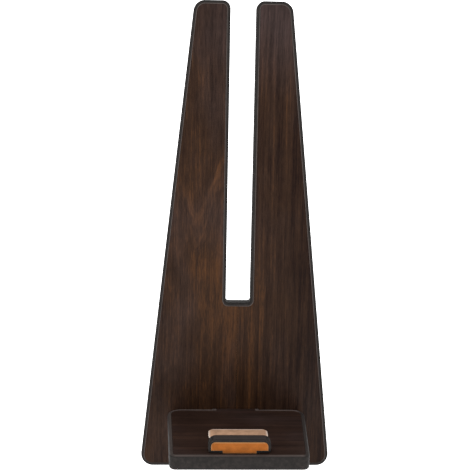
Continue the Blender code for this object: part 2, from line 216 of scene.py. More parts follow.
class StudioSettings(bpy.types.PropertyGroup):
    camera_place: FloatVectorProperty(
        name="Camera place", description="Where the camera stands", size=3,
        subtype='TRANSLATION', unit='LENGTH', default=(-0.03930, -0.83269, 0.68280))
    camera_right: FloatVectorProperty(
        name="Camera right", description="Direction of the picture's right side", size=3,
        subtype='DIRECTION', default=(0.99924, -0.02828, 0.02700))
    camera_up: FloatVectorProperty(
        name="Camera up", description="Direction of the picture's top", size=3,
        subtype='DIRECTION', default=(-0.01190, 0.43767, 0.89906))
    lens: FloatProperty(name="Lens", description="Focal length on a 36 mm sensor",
                        default=61.34, min=1.0, unit='CAMERA')
    room_light: amount("Room light", "Brightness of the white room", 1.0)
    table_light: amount("Table light", "Brightness of the lit table", 1.5)
    table_width: distance("Table width", "Across the lit table", 16.0)
    key_light: amount("Key light", "Strength of the light from the left", 0.6)
    key_direction: FloatVectorProperty(
        name="Key direction", description="Where the key light shines to", size=3,
        subtype='DIRECTION', default=(0.55, 0.55, -0.75))
    key_spread: FloatProperty(name="Key spread", description="Angle that the key light fills",
                              default=math.radians(50.0), min=0.0, unit='ROTATION', subtype='ANGLE')


PROPERTIES = {
    "stand_board": BoardSizes,
    "stand_shelf": ShelfSizes,
    "stand_stop": StopSizes,
    "stand_pad": PadSizes,
    "stand_feet": FootSizes,
    "stand_finish": FinishColours,
    "stand_studio": StudioSettings,
}


# Shaping by hand

def pick(block):
    """Ends edit mode, and selects one object alone."""
    if bpy.context.mode != 'OBJECT':
        bpy.ops.object.mode_set(mode='OBJECT')
    bpy.ops.object.select_all(action='DESELECT')
    bpy.context.view_layer.objects.active = block
    block.select_set(True)


def start_block(name, low, high):
    """A cube between two corners, alone in the selection and in edit mode."""
    bpy.ops.object.select_all(action='DESELECT')
    low, high = Vector(low), Vector(high)
    bpy.ops.mesh.primitive_cube_add(size=1.0, location=(low + high) / 2, scale=high - low)
    block = bpy.context.object
    block.name = block.data.name = name
    bpy.ops.object.transform_apply(location=True, rotation=True, scale=True)
    bpy.ops.object.mode_set(mode='EDIT')
    return block


def choose(block, kind, wanted):
    """Selects only the wanted vertices, edges or faces."""
    bpy.ops.mesh.select_mode(type=kind)
    bpy.ops.mesh.select_all(action='DESELECT')
    shape = bmesh.from_edit_mesh(block.data)
    shape.normal_update()
    every = {'VERT': shape.verts, 'EDGE': shape.edges, 'FACE': shape.faces}[kind]
    found = [item for item in every if wanted(item)]
    if not found:
        raise RuntimeError(f"{block.name}: found no {kind.lower()} to shape")
    for item in found:
        item.select_set(True)
    bmesh.update_edit_mesh(block.data)


def near(value, target, slack=1e-5):
    return abs(value - target) < slack


def middle(edge):
    return (edge.verts[0].co + edge.verts[1].co) / 2


def spans(edge, axis, thick):
    """Whether an edge runs right through a plate of this thickness."""
    return abs(edge.verts[0].co[axis] - edge.verts[1].co[axis]) > 0.9 * thick


def lies_at(face, axis, place):
    """Whether a face is square to an axis, at a place along it."""
    return abs(face.normal[axis]) > 0.99 and near(face.calc_center_median()[axis], place)


def bisect(place, normal, **options):
    bpy.ops.mesh.select_mode(type='FACE')
    bpy.ops.mesh.select_all(action='SELECT')
    bpy.ops.mesh.bisect(plane_co=place, plane_no=normal, **options)


def drop_flat_lines():
    bpy.ops.mesh.select_mode(type='FACE')
    bpy.ops.mesh.select_all(action='SELECT')
    bpy.ops.mesh.dissolve_limited(angle_limit=FLAT_ANGLE)


def round_corners(block, wanted, radius, segments=10):
    """Rounds edges that run through a plate to the given radius."""
    choose(block, 'EDGE', wanted)
    shape = bmesh.from_edit_mesh(block.data)
    turn = next(edge.calc_face_angle() for edge in shape.edges if edge.select)
    offset = radius * math.tan(turn / 2)
    bpy.ops.mesh.bevel(offset_type='OFFSET', offset=offset, segments=segments, profile=0.5,
                       affect='EDGES', clamp_overlap=False)


def round_rims(block, axis, places, radius, segments=8):
    """Rounds the rims of a plate's two faces."""
    choose(block, 'EDGE', lambda e: any(all(near(v.co[axis], p) for v in e.verts) for p in places))
    bpy.ops.mesh.bevel(offset_type='OFFSET', offset=radius, segments=segments, profile=0.5,
                       affect='EDGES', clamp_overlap=False)


def sink_pocket(block, wanted, lip, depth, normal):
    """Lets a pocket into a face, inside a flat lip whose inner edge is its own strip."""
    choose(block, 'FACE', wanted)
    bpy.ops.mesh.inset(thickness=lip - INNER_STRIP, depth=0.0, use_even_offset=True)
    bpy.ops.mesh.inset(thickness=INNER_STRIP, depth=0.0, use_even_offset=True)
    bpy.ops.mesh.extrude_region_move(
        TRANSFORM_OT_translate={"value": Vector(normal) * -depth})


def cut_through(block, low, high):
    """Cuts a block's space out of a piece."""
    bpy.ops.object.mode_set(mode='OBJECT')
    cutter = start_block("cutter", low, high)
    pick(block)
    bpy.ops.object.modifier_add(type='BOOLEAN')
    modifier = block.modifiers[-1]
    modifier.operation, modifier.solver, modifier.object = 'DIFFERENCE', 'EXACT', cutter
    bpy.ops.object.modifier_apply(modifier=modifier.name)
    bpy.data.objects.remove(cutter, do_unlink=True)
    bpy.ops.object.mode_set(mode='EDIT')


def mark(block, name, value_at):
    """Stores a number at each vertex, for a material to read."""
    bpy.ops.object.mode_set(mode='OBJECT')
    values = block.data.attributes.new(name, 'FLOAT', 'POINT')
    for vert, item in zip(block.data.vertices, values.data):
        item.value = value_at(vert)


def mark_wear_and_highlight(block, axis, low, high, shoulder, lip, share=None, worn_and_lit_above=None):
    """Marks how far the paint is rubbed, and where painted highlight lies: at the lip's outer line, its
    middle and its inner edge.

    On the rounding the value of the outer line fades out at the depth of the shoulder.
    The share function gives how much of it a place keeps: painted highlight and shade by place.
    A wall above the given height, which faces up and which hands and instruments touch,
    is rubbed and painted lighter too.
    """
    bpy.ops.object.mode_set(mode='OBJECT')
    verts = block.data.vertices

    def depth(index):
        return min(verts[index].co[axis] - low, high - verts[index].co[axis])

    # Edges that run straight down from a face are a pocket's; they start at the lip's inner edge,
    # and the line next to that one is the strip's
    pairs = [tuple(edge.vertices) for edge in block.data.edges]
    inner = {index for pair in pairs for index in pair if near(depth(index), 0.0)
             and near((verts[pair[0]].co - verts[pair[1]].co).length,
                      abs(verts[pair[0]].co[axis] - verts[pair[1]].co[axis]))}
    strip = {index for pair in pairs if inner.intersection(pair) for index in pair
             if near(depth(index), 0.0)} - inner

    # Wear, with painted highlight and painted shade: the pale lip's value at each vertex
    def wear(vert):
        if worn_and_lit_above is not None and vert.co.z > worn_and_lit_above and depth(vert.index) > WALL_DEPTH:
            return TOUCHED_AND_LIT_WALL
        kept = share(vert.co) if share else 1.0
        if not near(depth(vert.index), 0.0):
            return kept * lip[0] * max(0.0, 1.0 - depth(vert.index) / shoulder)
        return kept * lip[2 if vert.index in inner else 1 if vert.index in strip else 0]

    mark(block, "wear", wear)


def ramp(value, start, end):
    """How far a value has come from start to end, between nought and one."""
    return min(1.0, max(0.0, (value - start) / (end - start)))


def finish_piece(block, finish, body, node, leans=True):
    """Smooths a piece, puts it in its place and ties it to the frame."""
    pick(block)
    bpy.ops.object.shade_smooth_by_angle(angle=SMOOTH_ANGLE)
    if leans:
        block.rotation_euler = (-LEAN, 0.0, 0.0)
        block.location = BOARD_PLACE
        bpy.ops.object.transform_apply(location=True, rotation=True, scale=True)
    block.data.materials.append(bpy.data.materials[finish])
    block.select_set(False)
    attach(block, body)
    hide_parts(node)


# Materials

def add_node(tree, kind, inputs=(), stops=(), **settings):
    """Adds a shader node of a kind, such as Math, with its settings and links.

    Inputs go by name or number in a dictionary, or in their order. Each is a plain
    value, a socket, or a node, whose first live output feeds it. Stops are a colour
    ramp's places and colours.
    """
    node = tree.nodes.new("ShaderNode" + kind)
    for key, value in settings.items():
        setattr(node, key, value)
    for key, value in inputs.items() if isinstance(inputs, dict) else enumerate(inputs):
        if isinstance(value, bpy.types.Node):
            value = next(socket for socket in value.outputs if socket.enabled)
        if isinstance(value, bpy.types.NodeSocket):
            tree.links.new(value, node.inputs[key])
        else:
            node.inputs[key].default_value = value
    if stops:
        band = node.color_ramp
        while len(band.elements) < len(stops):
            band.elements.new(0.5)
        for element, (place, value) in zip(band.elements, stops):
            element.position = place
            element.color = value if hasattr(value, "__len__") else (value, value, value, 1.0)
    return node


def new_material(name):
    """An empty material, and add_node for its own nodes."""
    material = bpy.data.materials.new(name)
    material.use_nodes = True
    material.node_tree.nodes.clear()
    return material, partial(add_node, material.node_tree)


def per_metre(size):
    """How often a pattern of this size, in millimetres, repeats in a metre."""
    return 1000.0 / size


def plank_place(add):
    """Places square to the board: X across, Y back from its face, Z up along it."""
    here = add("TexCoord").outputs["Object"]
    place = add("Mapping", {"Vector": here, "Location": BOARD_PLACE, "Rotation": (-LEAN, 0.0, 0.0)},
                vector_type='TEXTURE')
    return add("SeparateXYZ", (place,)).outputs


def grain_noise(add, across, along, width, run, detail=2.0, roughness=0.5):
    """Noise stretched along the grain, centred on nought; width and run in millimetres."""
    spread = add("CombineXYZ", {
        "X": add("Math", (across, per_metre(width)), operation='MULTIPLY'),
        "Z": add("Math", (along, per_metre(run)), operation='MULTIPLY')})
    cloud = add("TexNoise", {"Vector": spread, "Scale": 1.0, "Detail": detail, "Roughness": roughness})
    return add("Math", (cloud, 0.5), operation='SUBTRACT')


def cathedral_figure(add, place, fine, centre, foot, slope_left, slope_right, tall):
    """Growth rings cut at a slant: broken chevrons that point down. Gives tone and share."""
    aside = add("Math", (place["X"], centre), operation='SUBTRACT')
    left_arm = add("Math", (aside, -slope_left), operation='MULTIPLY')
    right_arm = add("Math", (aside, slope_right), operation='MULTIPLY')
    arms = add("Math", (left_arm, right_arm, CHEVRON_POINT), operation='SMOOTH_MAX')
    rise = add("Math", (place["Z"], foot), operation='SUBTRACT')
    rise = add("Math", (rise, arms), operation='SUBTRACT')
    wander = grain_noise(add, aside, place["Z"], width=26, run=33, detail=3.0)
    rise = add("Math", (wander, CHEVRON_WANDER, rise), operation='MULTIPLY_ADD')
    rings = grain_noise(add, rise, aside, width=30, run=76, detail=3.0, roughness=0.6)
    height = add("Math", (rise, 1.0 / tall, 0.25), operation='MULTIPLY_ADD')
    share = add("ValToRGB", (height,), [(0.05, 0.0), (0.35, 0.7), (0.75, 0.6), (1.0, 0.0)])
    return add("Math", (rings, 0.8, fine), operation='MULTIPLY_ADD'), share


def lacquered_veneer(name, leaf):
    """Smoked rosewood veneer under matt lacquer.

    Dark and orange-brown lines along the grain, cooler patches between them and
    fine pores; the lacquer is thin and leaves only a soft, blurred sheen.
    """
    board, tones = bpy.context.scene.stand_board, bpy.context.scene.stand_finish
    material, add = new_material(name)
    place = plank_place(add)
    sides = ("X", "Z") if leaf["on"] == "board" else ("Y", "X")
    across, along = [add("Math", (place[side], start), operation='ADD')
                     for side, start in zip(sides, leaf["start"])]
    patches = grain_noise(add, across, along, width=52, run=110, detail=3.0)
    flames = grain_noise(add, across, along, width=14, run=45, detail=3.0, roughness=0.55)
    # The grain sways by a few millimetres over the length of the board
    sway = grain_noise(add, across, along, width=110, run=330)
    across = add("Math", (sway, leaf["sway"], across), operation='MULTIPLY_ADD')
    stripes = grain_noise(add, across, along, width=9, run=330, detail=3.0)
    growth_lines = grain_noise(add, across, along, width=2.3, run=77, detail=3.0, roughness=0.6)
    # Real fibres and pores are finer, which wouldn't show
    fibres = grain_noise(add, across, along, width=0.7, run=10)
    pores = grain_noise(add, across, along, width=0.5, run=8, detail=1.0)
    fine = add("Math", (growth_lines, leaf["lines"]), operation='MULTIPLY')
    fine = add("Math", (fibres, leaf["fibres"], fine), operation='MULTIPLY_ADD')
    tone = add("Math", (stripes, leaf["stripes"], fine), operation='MULTIPLY_ADD')
    tone = add("Math", (flames, leaf["flames"], tone), operation='MULTIPLY_ADD')
    if "cathedral" in leaf:
        chevrons, share = cathedral_figure(add, place, fine, *leaf["cathedral"])
        tone = add("Mix", {0: share, 2: tone, 3: chevrons})
    # The leaf's lightness up the board, which on the front left leaf holds a painted shade at the foot
    # beside the shelf, less a painted shade towards the board's outer edges
    rise = add("Math", (place["Z"], board.length), operation='DIVIDE')
    light, edge_shade = [add("ValToRGB", (rise,), list(zip(LEAF_STATIONS, leaf[key])))
                   for key in ("light", "edge_shade")]
    outwards = add("Math", (place["X"],), operation='ABSOLUTE')
    outwards = add("MapRange", (outwards, EDGE_SHADE_START, EDGE_SHADE_START + EDGE_SHADE_RUN, 0.0, 1.0), clamp=False)
    edge_shade_tone = add("Math", (edge_shade, outwards), operation='MULTIPLY')
    tone = add("Math", (tone, light), operation='ADD')
    tone = add("Math", (tone, edge_shade_tone), operation='SUBTRACT')
    # Single lighter veins rise from the foot and fade out below the slot
    for vein_place, half_width, strength in leaf.get("veins", ()):
        aside = add("Math", (across, leaf["start"][0] + vein_place), operation='SUBTRACT')
        aside = add("Math", (aside,), operation='ABSOLUTE')
        vein = add("MapRange", (aside, 0.0, half_width, strength, 0.0), interpolation_type='SMOOTHSTEP')
        fade = add("MapRange", (place["Z"], *VEIN_FADE, 1.0, 0.0))
        tone = add("Math", (vein, fade, tone), operation='MULTIPLY_ADD')
    brown = add("ValToRGB", (tone,),
                [(0.30, tones.wood_dark), (0.50, tones.wood_mid), (0.72, tones.wood_light)])
    # Cooler patches, and towards the tips of the prongs a cooler tone that is a painted reflection, with
    # the same lines
    tip_sheen = add("MapRange", (place["Z"], *TIP_SHEEN_FADE, *leaf["cool_and_tip_sheen"]))
    cool_and_tip_sheen = add("MapRange", (patches, -0.04, 0.20, 0.0, leaf["patches"]))
    cool_and_tip_sheen = add("Math", (cool_and_tip_sheen, tip_sheen), operation='ADD')
    shade = add("MapRange", (tone, 0.33, 0.65, 0.35, 2.0))
    grey = add("Mix", {0: 1.0, 6: tones.wood_grey, 7: shade}, data_type='RGBA', blend_type='MULTIPLY')
    wood = add("Mix", {0: cool_and_tip_sheen, 6: brown, 7: grey}, data_type='RGBA')
    pitted = add("MapRange", (pores, 0.12, 0.22, 1.0, 0.6))
    wood = add("Mix", {0: 1.0, 6: wood, 7: pitted}, data_type='RGBA', blend_type='MULTIPLY')
    dull = add("MapRange", (growth_lines, -0.2, 0.2, 0.50, 0.40))
    height = add("Math", (fibres, growth_lines), operation='ADD')
    bump = add("Bump", {"Strength": 0.35, "Distance": 0.00006, "Height": height})
    add("OutputMaterial", (add("BsdfPrincipled", {
        "Base Color": wood, "Roughness": dull, "Normal": bump, "IOR": 1.5,
        "Specular IOR Level": tones.wood_sheen}),))
    return material


def satin_paint():
    """Black satin paint, sprayed on sealed panel edges.

    A dark neutral grey with a faint orange peel, and a paler grey on the flat lip that
    the facings are let in behind: partly rubbed paint, partly a painted highlight.
    """
    tones = bpy.context.scene.stand_finish
    material, add = new_material("satin_black_paint")
    here = add("TexCoord").outputs["Object"]
    cloud = add("TexNoise", {"Vector": here, "Scale": per_metre(17), "Detail": 3.0})
    peel = add("TexNoise", {"Vector": here, "Scale": per_metre(0.7)})
    scuffs = add("TexNoise", {"Vector": here, "Scale": per_metre(4.8), "Detail": 4.0,
                              "Roughness": 0.7})
    # The attribute carries wear together with painted highlight and painted shade on the lips
    lip = add("Attribute", attribute_name="wear").outputs["Fac"]
    uneven = add("MapRange", (cloud, *NOISE_SPAN, 0.7, 1.1))
    rubbed_and_lit = add("Math", (lip, uneven), operation='MULTIPLY')
    scuffed = add("MapRange", (scuffs, 0.40, 0.75, 0.0, 0.12))
    rubbed_and_lit = add("Math", (rubbed_and_lit, scuffed), operation='MAXIMUM')
    paint = add("Mix", {0: rubbed_and_lit, 6: tones.paint, 7: tones.paint_rubbed_and_lit}, data_type='RGBA')
    dull = add("MapRange", (cloud, *NOISE_SPAN, 0.50, 0.60))
    bump = add("Bump", {"Strength": 0.25, "Distance": 0.00004, "Height": peel})
    add("OutputMaterial", (add("BsdfPrincipled", {
        "Base Color": paint, "Roughness": dull, "Normal": bump, "IOR": 1.5,
        "Specular IOR Level": tones.paint_sheen}),))
    return material


def smooth_leather(name, face, cut, roughness):
    """Vegetable-tanned leather, finished smooth.

    A fine pebble of pores about 0.6 mm apart, cloudy colour, a soft waxy sheen and
    a paler cut edge.
    """
    material, add = new_material(name)
    here = add("TexCoord").outputs["Object"]
    cloud = add("TexNoise", {"Vector": here, "Scale": per_metre(9), "Detail": 3.0,
                             "Roughness": 0.55})
    pebble = add("TexVoronoi", {"Vector": here, "Scale": per_metre(0.6)}, feature='F1')
    shade = add("MapRange", (cloud, *NOISE_SPAN, 0.76, 1.18))
    skin = add("Mix", {0: 1.0, 6: face, 7: shade}, data_type='RGBA', blend_type='MULTIPLY')
    dots = add("MapRange", (pebble, 0.25, 0.75, 1.04, 0.90))
    skin = add("Mix", {0: 1.0, 6: skin, 7: dots}, data_type='RGBA', blend_type='MULTIPLY')
    rim = add("Attribute", attribute_name="cut_edge").outputs["Fac"]
    leather = add("Mix", {0: rim, 6: skin, 7: cut}, data_type='RGBA')
    dull = add("MapRange", (cloud, *NOISE_SPAN, roughness + 0.05, roughness - 0.05))
    height = add("Math", (pebble, -1.0), operation='MULTIPLY')
    bump = add("Bump", {"Strength": 0.5, "Distance": 0.00008, "Height": height})
    add("OutputMaterial", (add("BsdfPrincipled", {
        "Base Color": leather, "Roughness": dull, "Normal": bump, "IOR": 1.48,
        "Specular IOR Level": 0.06}),))
    return material


def foot_rubber():
    """Solid neoprene, cut from sheet: matt black with a dusty bloom and a fine grain."""
    tones = bpy.context.scene.stand_finish
    material, add = new_material("neoprene_rubber")
    here = add("TexCoord").outputs["Object"]
    bloom = add("TexNoise", {"Vector": here, "Scale": per_metre(3.3), "Detail": 3.0})
    grain = add("TexNoise", {"Vector": here, "Scale": per_metre(0.4)})
    dust = add("Math", (bloom, 0.25), operation='MULTIPLY')
    dusty = add("Mix", {0: dust, 6: tones.rubber, 7: tones.rubber_bloom}, data_type='RGBA')
    dull = add("MapRange", (bloom, *NOISE_SPAN, 0.75, 0.9))
    bump = add("Bump", {"Strength": 0.4, "Distance": 0.00005, "Height": grain})
    add("OutputMaterial", (add("BsdfPrincipled", {
        "Base Color": dusty, "Roughness": dull, "Normal": bump, "IOR": 1.52}),))
    return material


def light_table():
    """Opal acrylic sheet, evenly lit: white all over, with a trace of tooth.

    It is clear from underneath, so that a view from below shows the stand's underside.
    """
    settings, tones = bpy.context.scene.stand_studio, bpy.context.scene.stand_finish
    material, add = new_material("opal_acrylic_table")
    here = add("TexCoord").outputs["Object"]
    tooth = add("TexNoise", {"Vector": here, "Scale": per_metre(1.1)})
    shade = add("MapRange", (tooth, 0.0, 1.0, 0.98, 1.0))
    white = add("Mix", {0: 1.0, 6: tones.floor, 7: shade}, data_type='RGBA', blend_type='MULTIPLY')
    opal = add("BsdfPrincipled", {
        "Base Color": white, "Roughness": 0.9, "Specular IOR Level": 0.0,
        "Emission Color": (1.0, 1.0, 1.0, 1.0), "Emission Strength": settings.table_light})
    underneath = add("NewGeometry").outputs["Backfacing"]
    clear = add("BsdfTransparent")
    add("OutputMaterial", (add("MixShader", (underneath, opal, clear)),))
    return material


# The pieces

class STAND_OT_board(bpy.types.Operator):
    """Shape the slotted back board's core, with its rounded painted edges"""
    bl_idname = "stand.board"
    bl_label = "Back board"

    def execute(self, context):
        sizes, shelf = context.scene.stand_board, context.scene.stand_shelf
        thick, slot_foot = sizes.thickness, sizes.length - sizes.slot_length
        half_foot, half_top = sizes.bottom_width / 2, sizes.top_width / 2
        half_slot = sizes.slot_width / 2
        board = start_block("back_board", (-half_foot, 0.0, 0.0), (half_foot, thick, sizes.length))
        choose(board, 'VERT', lambda v: near(v.co.z, sizes.length))
        bpy.ops.transform.resize(value=(half_top / half_foot, 1.0, 1.0),
                                 center_override=(0.0, 0.0, sizes.length))
        bisect(GROUND_UP * GROUND_GAP, GROUND_UP, clear_inner=True, use_fill=True)
        # The slot: its block of faces is taken out, then front and back are joined
        for side in (-1, 1):
            bisect((side * half_slot, 0.0, 0.0), (1.0, 0.0, 0.0))
        bisect((0.0, 0.0, slot_foot), (0.0, 0.0, 1.0))
        choose(board, 'FACE', lambda f: abs(f.calc_center_median().x) < half_slot
               and f.calc_center_median().z > slot_foot)
        bpy.ops.mesh.delete(type='FACE')
        choose(board, 'EDGE', lambda e: e.is_boundary and not spans(e, BACK, thick))
        bpy.ops.mesh.bridge_edge_loops()
        drop_flat_lines()
        corners = (
            (lambda e: middle(e).z < sizes.bottom_radius, sizes.bottom_radius, 14),
            (lambda e: near(middle(e).z, sizes.length) and near(abs(middle(e).x), half_top),
             sizes.prong_outer, 12),
            (lambda e: near(middle(e).z, sizes.length) and near(abs(middle(e).x), half_slot),
             sizes.prong_inner, 12),
            (lambda e: near(middle(e).z, slot_foot), sizes.slot_radius, 8),
        )
        for wanted, radius, segments in corners:
            round_corners(board, lambda e: spans(e, BACK, thick) and wanted(e), radius, segments)
        round_rims(board, BACK, (0.0, thick), sizes.edge_round)
        for place, normal in ((0.0, (0, -1, 0)), (thick, (0, 1, 0))):
            sink_pocket(board, lambda f: lies_at(f, BACK, place), sizes.lip, sizes.pocket, normal)
        half_hole = shelf.tail_width / 2 + shelf.clearance
        cut_through(board,
                    (-half_hole, -thick, shelf.top_height - shelf.thickness - shelf.clearance),
                    (half_hole, 2 * thick, shelf.top_height + shelf.clearance))
        # Painted shade: the lip is kept darker at the board's foot, and its pale inner strip is a painted
        # highlight
        mark_wear_and_highlight(board, BACK, 0.0, thick, shoulder=0.5 * sizes.edge_round, lip=(0.0, 0.1, 1.0),
                  share=lambda place: FOOT_SHADED_SHARE + (1.0 - FOOT_SHADED_SHARE) * ramp(place.z, *FOOT_RISE))
        finish_piece(board, "satin_black_paint", "board", "board_core")
        return {'FINISHED'}


class STAND_OT_shelf(bpy.types.Operator):
    """Shape the shelf plank and the tail that runs through the board to the ground"""
    bl_idname = "stand.shelf"
    bl_label = "Shelf"

    def execute(self, context):
        sizes, board, stop = (context.scene.stand_shelf, context.scene.stand_board,
                              context.scene.stand_stop)
        top, low = sizes.top_height, sizes.top_height - sizes.thickness
        half_rear, half_front = sizes.rear_width / 2, sizes.front_width / 2
        half_tail, rear = sizes.tail_width / 2, -HIDDEN_GAP
        tail_end = low / math.tan(LEAN) + sizes.ground_run
        shelf = start_block("shelf_plank", (-half_rear, -sizes.depth, low), (half_rear, rear, top))
        choose(shelf, 'VERT', lambda v: near(v.co.y, -sizes.depth))
        bpy.ops.transform.resize(value=(half_front / half_rear, 1.0, 1.0),
                                 center_override=(0.0, -sizes.depth, low))
        for side in (-1, 1):
            bisect((side * half_tail, 0.0, 0.0), (1.0, 0.0, 0.0))
        choose(shelf, 'FACE',
               lambda f: lies_at(f, BACK, rear) and abs(f.calc_center_median().x) < half_tail)
        bpy.ops.mesh.extrude_region_move(TRANSFORM_OT_translate={"value": (0, tail_end - rear, 0)})
        drop_flat_lines()
        corners = (
            (lambda e: near(middle(e).y, -sizes.depth), sizes.front_radius),
            (lambda e: near(middle(e).y, rear) and near(abs(middle(e).x), half_rear),
             sizes.rear_radius),
            (lambda e: near(middle(e).y, tail_end), sizes.tail_radius),
        )
        for wanted, radius in corners:
            round_corners(shelf, lambda e: spans(e, UP, sizes.thickness) and wanted(e), radius, 12)
        round_rims(shelf, UP, (low, top), board.edge_round)
        # The veneer underneath ends where the tail is cut to lie on the ground
        under_end = (low - GROUND_GAP / math.cos(LEAN)) / math.tan(LEAN) - board.edge_round
        bisect((0.0, under_end, 0.0), (0.0, 1.0, 0.0))
        for place, normal, end in ((top, (0, 0, 1), tail_end), (low, (0, 0, -1), under_end)):
            sink_pocket(shelf, lambda f: lies_at(f, UP, place) and f.calc_center_median().y < end,
                        board.lip, board.pocket, normal)
        bisect(GROUND_UP * GROUND_GAP, GROUND_UP, clear_inner=True, use_fill=True)
        half_hole = stop.stem_width / 2 + sizes.clearance
        front = stop.setback - sizes.depth
        cut_through(shelf, (-half_hole, front - sizes.clearance, low - sizes.thickness),
                    (half_hole, front + stop.thickness + sizes.clearance, top + sizes.thickness))

        def share(place):
            """Painted highlight: most beside the board and less along the sides, least along the right
            side, as painted shade.
            """
            half = half_front + (half_rear - half_front) * (1.0 + place.y / sizes.depth)
            side = ramp(abs(place.x), half - SIDE_BAND[0], half - SIDE_BAND[1])
            kept = LEFT_HIGHLIGHT_SHARE if place.x < 0.0 else RIGHT_HIGHLIGHT_SHARE
            home = HOME_HIGHLIGHT_SHARE if -HOME_BAND < place.y < 0.0 else 1.0
            return home * (1.0 - side * (1.0 - kept))

        # Painted highlight over the lip and the upper part of its rounding, with some wear
        mark_wear_and_highlight(shelf, UP, low, top, shoulder=0.5 * board.edge_round, lip=(0.6, 0.7, 0.8),
                  share=share)
        finish_piece(shelf, "satin_black_paint", "shelf", "shelf_core")
        return {'FINISHED'}


class STAND_OT_stop(bpy.types.Operator):
    """Shape the T-shaped stop that drops through the shelf"""
    bl_idname = "stand.stop"
    bl_label = "Stop"

    def execute(self, context):
        sizes, shelf = context.scene.stand_stop, context.scene.stand_shelf
        half_head, half_stem = sizes.head_width / 2, sizes.stem_width / 2
        deck = shelf.top_height
        front = sizes.setback - shelf.depth
        back, seat, top = front + sizes.thickness, deck + HIDDEN_GAP, deck + sizes.head_height
        stop = start_block("stop_plate", (-half_head, front, seat), (half_head, back, top))
        for side in (-1, 1):
            bisect((side * half_stem, 0.0, 0.0), (1.0, 0.0, 0.0))
        choose(stop, 'FACE',
               lambda f: lies_at(f, UP, seat) and abs(f.calc_center_median().x) < half_stem)
        bpy.ops.mesh.extrude_region_move(
            TRANSFORM_OT_translate={"value": (0, 0, -shelf.thickness - HIDDEN_GAP)})
        drop_flat_lines()
        corners = (
            (lambda e: near(middle(e).z, top), sizes.top_radius, 12),
            (lambda e: near(middle(e).z, seat) and near(abs(middle(e).x), half_head),
             sizes.foot_radius, 8),
            (lambda e: near(middle(e).z, deck - shelf.thickness), sizes.foot_radius, 8),
        )
        for wanted, radius, segments in corners:
            round_corners(stop, lambda e: spans(e, BACK, sizes.thickness) and wanted(e), radius, segments)
        round_rims(stop, BACK, (front, back), sizes.edge_round, 6)
        pocket_end = deck - HIDDEN_GAP - sizes.lip
        bisect((0.0, 0.0, pocket_end), (0.0, 0.0, 1.0))
        for place, normal in ((front, (0, -1, 0)), (back, (0, 1, 0))):
            sink_pocket(stop, lambda f: lies_at(f, BACK, place) and f.calc_center_median().z > pocket_end,
                        sizes.lip, sizes.leather_sink, normal)
        # The stop's top is painted lighter: partly wear, partly painted light on the face that looks up
        mark_wear_and_highlight(stop, BACK, front, back, shoulder=0.5 * sizes.edge_round, lip=(0.0, 0.0, 0.0),
                  worn_and_lit_above=top - TOP_SKIN)
        finish_piece(stop, "satin_black_paint", "stop", "stop_core")
        return {'FINISHED'}


class STAND_OT_facings(bpy.types.Operator):
    """Cut the two leather facings and lay them in the stop's recesses"""
    bl_idname = "stand.facings"
    bl_label = "Stop's leather facings"

    def execute(self, context):
        sizes, shelf = context.scene.stand_stop, context.scene.stand_shelf
        inset = sizes.edge_round + sizes.lip + HIDDEN_GAP
        half_head, half_stem = sizes.head_width / 2 - inset, sizes.stem_width / 2 - inset
        deck = shelf.top_height
        shoulder, top = deck + HIDDEN_GAP + inset, deck + sizes.head_height - inset
        centre = sizes.setback - shelf.depth + sizes.thickness / 2
        inner = sizes.thickness / 2 - sizes.leather_sink + HIDDEN_GAP
        outer = inner + sizes.leather
        for name, side, node in (("stop_facing_front", -1, "stop_front_leather"),
                                 ("stop_facing_rear", 1, "stop_rear_leather")):
            near_y, far_y = sorted((centre + side * inner, centre + side * outer))
            outside = centre + side * outer
            facing = start_block(name, (-half_head, near_y, shoulder), (half_head, far_y, top))
            for hand in (-1, 1):
                bisect((hand * half_stem, 0.0, 0.0), (1.0, 0.0, 0.0))
            choose(facing, 'FACE', lambda f: lies_at(f, UP, shoulder)
                   and abs(f.calc_center_median().x) < half_stem)
            bpy.ops.mesh.extrude_region_move(
                TRANSFORM_OT_translate={"value": (0, 0, deck + HIDDEN_GAP - shoulder)})
            drop_flat_lines()
            round_corners(facing, lambda e: spans(e, BACK, sizes.leather) and near(middle(e).z, top),
                          sizes.top_radius - inset, 12)
            round_rims(facing, BACK, (outside,), sizes.leather_rim, 4)
            # The face swells a little inside its pressed rim
            choose(facing, 'FACE', lambda f: lies_at(f, BACK, outside))
            bpy.ops.mesh.inset(thickness=sizes.leather_press, depth=0.0)
            bpy.ops.mesh.inset(thickness=sizes.leather_slope, depth=LEATHER_SWELL)
            wall_end = outer - 2 * LEATHER_SWELL

            def cut_share(vert):
                """All pale on the cut wall, and fading inwards from the rim on the face."""
                if abs(vert.co.y - centre) < wall_end:
                    return 1.0
                half = half_head if vert.co.z > shoulder - LEATHER_SWELL else half_stem
                rim = min(half - abs(vert.co.x), top - vert.co.z)
                return max(0.0, 1.0 - rim / sizes.cut_fade)

            mark(facing, "cut_edge", cut_share)
            finish_piece(facing, "waxed_cognac_leather", "stop", node)
        return {'FINISHED'}


